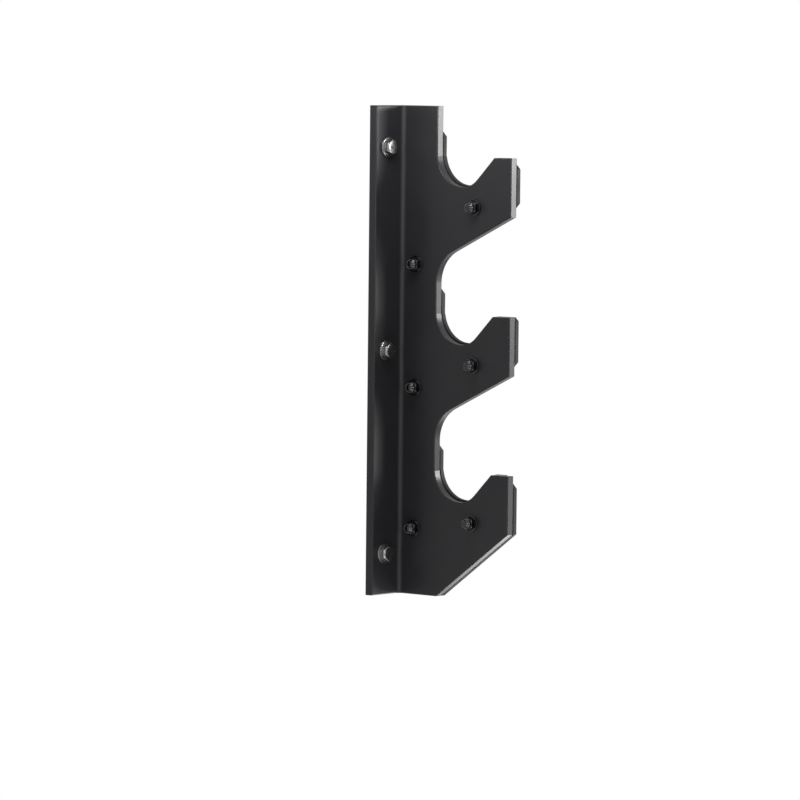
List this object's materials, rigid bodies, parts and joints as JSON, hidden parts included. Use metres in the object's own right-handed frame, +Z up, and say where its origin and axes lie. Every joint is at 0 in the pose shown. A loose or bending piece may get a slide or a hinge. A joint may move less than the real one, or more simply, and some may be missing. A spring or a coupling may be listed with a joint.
{
  "type": "barbell storage rack",
  "caption": "Wall-mounted horizontal barbell rack: a pair of bent steel uprights with three open hooks each, lined with plastic plates and lagged to the wall.",
  "frame": {"origin": "on the wall plane, midway between the two uprights and at half their height", "axes": "+X along the wall to the right as seen from the room, +Y into the wall, +Z up"},
  "size_m": [1.2972, 0.204, 0.4952],
  "materials": {
    "powder_coated_steel": "satin black powder coat",
    "liner_plastic": "machined",
    "black_fastener": "black oxide",
    "zinc_plated_steel": "bright zinc"
  },
  "bodies": {
    "root": {"upright_left": "powder_coated_steel", "upright_right": "powder_coated_steel", "liner_left": "liner_plastic", "liner_right": "liner_plastic", "hook_screw_left_top": "black_fastener", "hook_screw_left_middle": "black_fastener", "hook_screw_left_lower": "black_fastener", "spine_screw_left_top": "black_fastener", "spine_screw_left_middle": "black_fastener", "spine_screw_left_lower": "black_fastener", "hook_screw_right_top": "black_fastener", "hook_screw_right_middle": "black_fastener", "hook_screw_right_lower": "black_fastener", "spine_screw_right_top": "black_fastener", "spine_screw_right_middle": "black_fastener", "spine_screw_right_lower": "black_fastener", "hook_washer_left_top": "black_fastener", "hook_washer_left_middle": "black_fastener", "hook_washer_left_lower": "black_fastener", "spine_washer_left_top": "black_fastener", "spine_washer_left_middle": "black_fastener", "spine_washer_left_lower": "black_fastener", "hook_washer_right_top": "black_fastener", "hook_washer_right_middle": "black_fastener", "hook_washer_right_lower": "black_fastener", "spine_washer_right_top": "black_fastener", "spine_washer_right_middle": "black_fastener", "spine_washer_right_lower": "black_fastener", "hook_nut_left_top": "black_fastener", "hook_nut_left_middle": "black_fastener", "hook_nut_left_lower": "black_fastener", "spine_nut_left_top": "black_fastener", "spine_nut_left_middle": "black_fastener", "spine_nut_left_lower": "black_fastener", "hook_nut_right_top": "black_fastener", "hook_nut_right_middle": "black_fastener", "hook_nut_right_lower": "black_fastener", "spine_nut_right_top": "black_fastener", "spine_nut_right_middle": "black_fastener", "spine_nut_right_lower": "black_fastener", "wall_bolt_left_top": "zinc_plated_steel", "wall_bolt_left_middle": "zinc_plated_steel", "wall_bolt_left_lower": "zinc_plated_steel", "wall_bolt_right_top": "zinc_plated_steel", "wall_bolt_right_middle": "zinc_plated_steel", "wall_bolt_right_lower": "zinc_plated_steel", "wall_washer_left_top": "zinc_plated_steel", "wall_washer_left_middle": "zinc_plated_steel", "wall_washer_left_lower": "zinc_plated_steel", "wall_washer_right_top": "zinc_plated_steel", "wall_washer_right_middle": "zinc_plated_steel", "wall_washer_right_lower": "zinc_plated_steel"}
  },
  "joints": []
}
